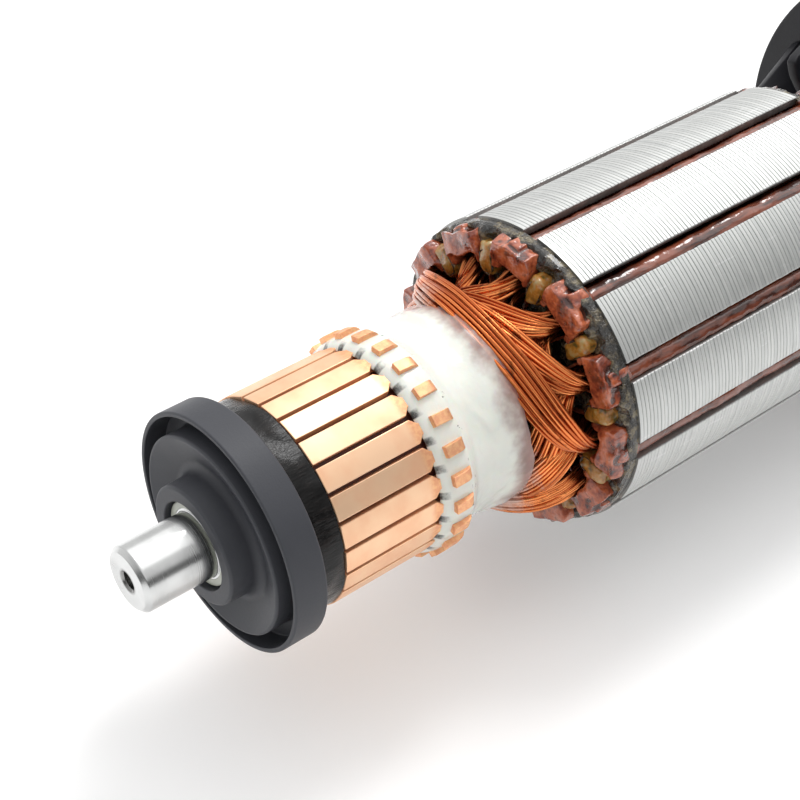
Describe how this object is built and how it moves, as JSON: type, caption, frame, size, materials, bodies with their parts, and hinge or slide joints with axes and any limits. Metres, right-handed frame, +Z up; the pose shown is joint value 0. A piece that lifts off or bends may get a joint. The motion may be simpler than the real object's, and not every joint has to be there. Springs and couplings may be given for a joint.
{
  "type": "motor armature",
  "caption": "Wound armature of a universal motor: shaft, dust ring, hook commutator, slotted laminated core with copper coils, and cooling fan.",
  "frame": {"origin": "middle of the commutator-end bearing journal, on the shaft's axis", "axes": "+X along the shaft from the commutator end to the drive end, +Z up through the middle of a core slot"},
  "size_m": [0.1372, 0.049, 0.049],
  "materials": {
    "shaft_steel": "ground, bright",
    "sleeve_resin": "pale glass-fibre resin",
    "ring_plastic": "satin moulded",
    "black_resin": "glossy, fibrous",
    "moulding_resin": "moulded resin",
    "bar_copper": "freshly turned copper",
    "white_resin": "milky, glossy",
    "end_board": "varnished board",
    "core_steel": "turned edges of steel sheets",
    "slot_fibre": "varnished red-brown fibre",
    "coil_wire": "enamelled copper wire under varnish",
    "fan_plastic": "moulded"
  },
  "bodies": {
    "root": {"shaft": "shaft_steel", "shaft_sleeve": "sleeve_resin", "dust_ring": "ring_plastic", "front_band": "black_resin", "commutator_moulding": "moulding_resin", "bar_01": "bar_copper", "bar_02": "bar_copper", "bar_03": "bar_copper", "bar_04": "bar_copper", "bar_05": "bar_copper", "bar_06": "bar_copper", "bar_07": "bar_copper", "bar_08": "bar_copper", "bar_09": "bar_copper", "bar_10": "bar_copper", "bar_11": "bar_copper", "bar_12": "bar_copper", "bar_13": "bar_copper", "bar_14": "bar_copper", "bar_15": "bar_copper", "bar_16": "bar_copper", "bar_17": "bar_copper", "bar_18": "bar_copper", "bar_19": "bar_copper", "bar_20": "bar_copper", "bar_21": "bar_copper", "bar_22": "bar_copper", "bar_23": "bar_copper", "bar_24": "bar_copper", "lead_wrap": "white_resin", "front_insulator": "end_board", "core": "core_steel", "slot_liners": "slot_fibre", "wedge_01": "slot_fibre", "wedge_02": "slot_fibre", "wedge_03": "slot_fibre", "wedge_04": "slot_fibre", "wedge_05": "slot_fibre", "wedge_06": "slot_fibre", "wedge_07": "slot_fibre", "wedge_08": "slot_fibre", "wedge_09": "slot_fibre", "wedge_10": "slot_fibre", "wedge_11": "slot_fibre", "wedge_12": "slot_fibre", "coil_01": "coil_wire", "coil_02": "coil_wire", "coil_03": "coil_wire", "coil_04": "coil_wire", "coil_05": "coil_wire", "coil_06": "coil_wire", "coil_07": "coil_wire", "coil_08": "coil_wire", "coil_09": "coil_wire", "coil_10": "coil_wire", "coil_11": "coil_wire", "coil_12": "coil_wire", "rear_insulator": "end_board", "fan": "fan_plastic", "fan_spacer": "shaft_steel"}
  },
  "joints": []
}
